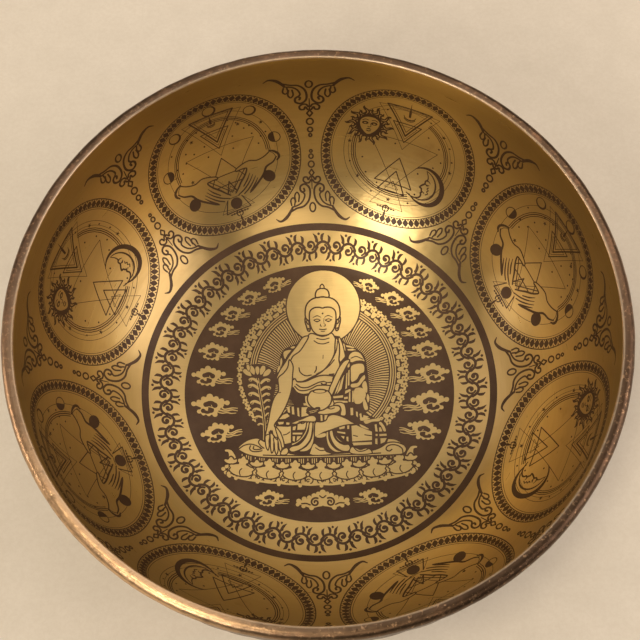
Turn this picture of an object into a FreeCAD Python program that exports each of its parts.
import FreeCAD, Part
import math
import os

import Sketcher

# Singing bowl: one deep round bowl, hammered from a single piece of bell metal. It stands on a small
# flat under its floor. The origin is the centre of that flat and +Z points up, out of the mouth.
# The whole solid is one closed half profile turned about Z.

# Driving dimensions, in millimetres. The sheet holds them and every sketch size is bound to it.
SIZES = {
    "rim_inner_radius": 124.5,
    "bowl_height": 114.0,
    "floor_thickness": 3.7,
    "wall_thickness": 3.1,
    "floor_arc_radius": 246.0,
    "heel_arc_radius": 83.5,
    "wall_arc_radius": 766.0,
    "floor_arc_edge": 63.8,
    "base_radius": 30.0,
    "lip_width": 5.5,
    "lip_inner_round": 0.8,
    "lip_outer_round": 3.2,
    "lip_flare_radius": 24.0,
}

START, END, CENTRE = 1, 2, 3
ORIGIN_POINT = (-1, 1)
VERTICAL_AXIS = -2
DOWN = -math.pi / 2


def make_sheet(doc):
    """The spreadsheet of driving dimensions, one aliased cell to a row."""
    sheet = doc.addObject("Spreadsheet::Sheet", "dimensions")
    for row, (name, size) in enumerate(SIZES.items(), start=1):
        sheet.set(f"A{row}", name)
        sheet.set(f"B{row}", str(size))
        sheet.setAlias(f"B{row}", name)
    doc.recompute()
    return sheet


def on_circle(centre, radius, angle):
    """The point of a circle at an angle from the horizontal."""
    return (centre[0] + radius * math.cos(angle), centre[1] + radius * math.sin(angle))


def direction(start, end):
    """The angle of the line from one point to another."""
    return math.atan2(end[1] - start[1], end[0] - start[0])


def circle_crossing(first, first_radius, second, second_radius):
    """The crossing of two circles that lies nearer the bowl's axis."""
    gap = math.dist(first, second)
    along = (first_radius**2 - second_radius**2 + gap**2) / (2 * gap)
    across = math.sqrt(first_radius**2 - along**2)
    heading = direction(first, second)
    foot = on_circle(first, along, heading)
    crossings = [on_circle(foot, across, heading + turn) for turn in (math.pi / 2, -math.pi / 2)]
    return min(crossings)


def outline_places(size):
    """Centres of the outline's arcs, as (distance from the axis, height), from the driving sizes."""
    floor = (0.0, size.floor_thickness + size.floor_arc_radius)
    floor_turn = DOWN + math.asin(size.floor_arc_edge / size.floor_arc_radius)
    heel = on_circle(floor, size.floor_arc_radius - size.heel_arc_radius, floor_turn)
    rim = (size.rim_inner_radius, size.bowl_height - size.lip_inner_round)
    wall = circle_crossing(heel, size.wall_arc_radius - size.heel_arc_radius, rim, size.wall_arc_radius)
    outer_heel_radius = size.heel_arc_radius + size.wall_thickness
    offset = heel[0] - size.base_radius
    base_arc_radius = (offset**2 + heel[1]**2 - outer_heel_radius**2) / (2 * (heel[1] - outer_heel_radius))
    base = (size.base_radius, base_arc_radius)
    lip_inner = (rim[0] + size.lip_inner_round, rim[1])
    lip_outer = (
        size.rim_inner_radius + size.lip_width - size.lip_outer_round,
        size.bowl_height - size.lip_outer_round,
    )
    flare = flare_centre(size, wall, lip_outer)
    return floor, heel, wall, base, lip_inner, lip_outer, flare


def flare_centre(size, wall, lip_outer):
    """Centre of the hollow arc under the lip: it touches the outer wall and the lip from outside."""
    to_wall = size.wall_arc_radius + size.wall_thickness + size.lip_flare_radius
    to_lip = size.lip_outer_round + size.lip_flare_radius
    heading = direction(lip_outer, wall)
    gap = math.dist(lip_outer, wall)
    cosine = (to_lip**2 + gap**2 - to_wall**2) / (2 * to_lip * gap)
    below = on_circle(lip_outer, to_lip, heading + math.acos(cosine))
    above = on_circle(lip_outer, to_lip, heading - math.acos(cosine))
    return min(below, above, key=lambda point: point[1])


class Outline:
    """Adds curves to a sketch and ties each of them to the sheet."""

    def __init__(self, sketch):
        self.sketch = sketch

    def line(self, start, end):
        points = [FreeCAD.Vector(x, y, 0) for x, y in (start, end)]
        return self.sketch.addGeometry(Part.LineSegment(*points), False)

    def arc(self, centre, radius, first_angle, last_angle):
        circle = Part.Circle(FreeCAD.Vector(*centre, 0), FreeCAD.Vector(0, 0, 1), radius)
        return self.sketch.addGeometry(Part.ArcOfCircle(circle, first_angle, last_angle), False)

    def tie(self, kind, *places):
        """A constraint without a size, such as a tangent joint."""
        return self.sketch.addConstraint(Sketcher.Constraint(kind, *places))

    def size(self, kind, name, start_value, *places, formula=None):
        """A constraint whose size follows the sheet."""
        index = self.sketch.addConstraint(Sketcher.Constraint(kind, *places, start_value))
        self.sketch.renameConstraint(index, name)
        self.sketch.setExpression(f"Constraints.{name}", formula or f"dimensions.{name}")


def draw_half_profile(sketch, size):
    """One side of the bowl's cross-section: inside from the floor up, over the lip, outside down."""
    outline = Outline(sketch)
    floor, heel, wall, base, lip_inner, lip_outer, flare = outline_places(size)
    outer_heel_radius = size.heel_arc_radius + size.wall_thickness
    outer_wall_radius = size.wall_arc_radius + size.wall_thickness

    floor_turn = direction(floor, heel)
    wall_turn = direction(wall, heel)
    rim_turn = direction(wall, lip_inner)
    base_turn = direction(base, heel)
    flare_turn = direction(wall, flare)
    lip_turn = direction(lip_outer, flare)

    inner_floor = outline.arc(floor, size.floor_arc_radius, DOWN, floor_turn)
    inner_heel = outline.arc(heel, size.heel_arc_radius, floor_turn, wall_turn)
    inner_wall = outline.arc(wall, size.wall_arc_radius, wall_turn, rim_turn)
    inner_lip = outline.arc(lip_inner, size.lip_inner_round, math.pi / 2, math.pi + rim_turn)
    lip_top = outline.line((lip_inner[0], size.bowl_height), (lip_outer[0], size.bowl_height))
    outer_lip = outline.arc(lip_outer, size.lip_outer_round, lip_turn, math.pi / 2)
    lip_flare = outline.arc(flare, size.lip_flare_radius, math.pi + lip_turn, math.pi + flare_turn)
    outer_wall = outline.arc(wall, outer_wall_radius, wall_turn, flare_turn)
    outer_heel = outline.arc(heel, outer_heel_radius, base_turn, wall_turn)
    outer_base = outline.arc(base, base[1], DOWN, base_turn)
    underside = outline.line((0, 0), (size.base_radius, 0))
    centre_line = outline.line((0, 0), (0, size.floor_thickness))

    outline.tie("Coincident", underside, START, *ORIGIN_POINT)
    outline.tie("Coincident", centre_line, START, *ORIGIN_POINT)
    outline.tie("Coincident", centre_line, END, inner_floor, START)
    outline.tie("PointOnObject", inner_floor, START, VERTICAL_AXIS)
    outline.tie("PointOnObject", inner_floor, CENTRE, VERTICAL_AXIS)
    outline.tie("Horizontal", underside)
    outline.tie("Horizontal", lip_top)
    outline.tie("Coincident", inner_heel, CENTRE, outer_heel, CENTRE)
    outline.tie("Coincident", inner_wall, CENTRE, outer_wall, CENTRE)
    outline.tie("Tangent", inner_floor, END, inner_heel, START)
    outline.tie("Tangent", inner_heel, END, inner_wall, START)
    outline.tie("Tangent", inner_wall, END, inner_lip, END)
    outline.tie("Tangent", inner_lip, START, lip_top, START)
    outline.tie("Tangent", lip_top, END, outer_lip, END)
    outline.tie("Tangent", outer_lip, START, lip_flare, START)
    outline.tie("Tangent", lip_flare, END, outer_wall, END)
    outline.tie("Tangent", outer_wall, START, outer_heel, END)
    outline.tie("Tangent", outer_heel, START, outer_base, END)
    outline.tie("Tangent", outer_base, START, underside, END)

    origin = ORIGIN_POINT
    outline.size("DistanceY", "floor_thickness", size.floor_thickness, *origin, inner_floor, START)
    outline.size("DistanceX", "floor_arc_edge", size.floor_arc_edge, *origin, inner_floor, END)
    outline.size("Radius", "floor_arc_radius", size.floor_arc_radius, inner_floor)
    outline.size("Radius", "heel_arc_radius", size.heel_arc_radius, inner_heel)
    outline.size("Radius", "wall_arc_radius", size.wall_arc_radius, inner_wall)
    outline.size("DistanceX", "rim_inner_radius", size.rim_inner_radius, *origin, inner_wall, END)
    outline.size("Radius", "lip_inner_round", size.lip_inner_round, inner_lip)
    outline.size("DistanceY", "bowl_height", size.bowl_height, *origin, lip_top, START)
    outline.size("Radius", "lip_outer_round", size.lip_outer_round, outer_lip)
    outline.size("Radius", "lip_flare_radius", size.lip_flare_radius, lip_flare)
    outline.size("DistanceX", "base_radius", size.base_radius, *origin, underside, END)
    outline.size(
        "DistanceX", "lip_outer_centre", lip_outer[0], *origin, outer_lip, CENTRE,
        formula="dimensions.rim_inner_radius + dimensions.lip_width - dimensions.lip_outer_round",
    )
    outline.size(
        "Radius", "outer_wall_radius", outer_wall_radius, outer_wall,
        formula="dimensions.wall_arc_radius + dimensions.wall_thickness",
    )


def origin_part(body, role):
    """A plane or axis of the body's own origin."""
    return next(part for part in body.Origin.OriginFeatures if part.Role == role)


def make_bowl(doc, size):
    """The bowl: its half profile on the XZ plane, turned once round the Z axis."""
    body = doc.addObject("PartDesign::Body", "bowl_body")
    body.Label = "bowl"
    sketch = body.newObject("Sketcher::SketchObject", "half_profile")
    sketch.AttachmentSupport = [(origin_part(body, "XZ_Plane"), "")]
    sketch.MapMode = "FlatFace"
    draw_half_profile(sketch, size)
    doc.recompute()
    turned = body.newObject("PartDesign::Revolution", "turned_bowl")
    turned.Profile = sketch
    turned.ReferenceAxis = (origin_part(body, "Z_Axis"), [""])
    turned.Angle = 360.0
    body.Placement = FreeCAD.Placement()
    doc.recompute()
    return body


def check_document(doc, bodies):
    """Stops with a message if an object failed or a sub-part has no valid solid."""
    for item in doc.Objects:
        if {"Invalid", "Error"} & set(item.State):
            raise RuntimeError(f"{item.Name} failed: {item.State}")
    for body in bodies:
        if body.Shape.isNull() or not body.Shape.isValid() or not body.Shape.Solids:
            raise RuntimeError(f"{body.Label} has no valid solid")


def write_steps(bodies):
    """One STEP file to each sub-part, named by its label."""
    os.makedirs("parts", exist_ok=True)
    for body in bodies:
        body.Shape.exportStep(f"parts/{body.Label}.step")


def main():
    doc = FreeCAD.newDocument("singing_bowl")
    size = make_sheet(doc)
    bodies = [make_bowl(doc, size)]
    check_document(doc, bodies)
    write_steps(bodies)
    for body in bodies:
        box = body.Shape.optimalBoundingBox()
        print(f"{body.Label}: {box.XLength:.2f} x {box.YLength:.2f} x {box.ZLength:.2f} mm,", end=" ")
        print(f"{body.Shape.Volume / 1000:.1f} cm3, {len(body.Shape.Solids)} solid")


main()
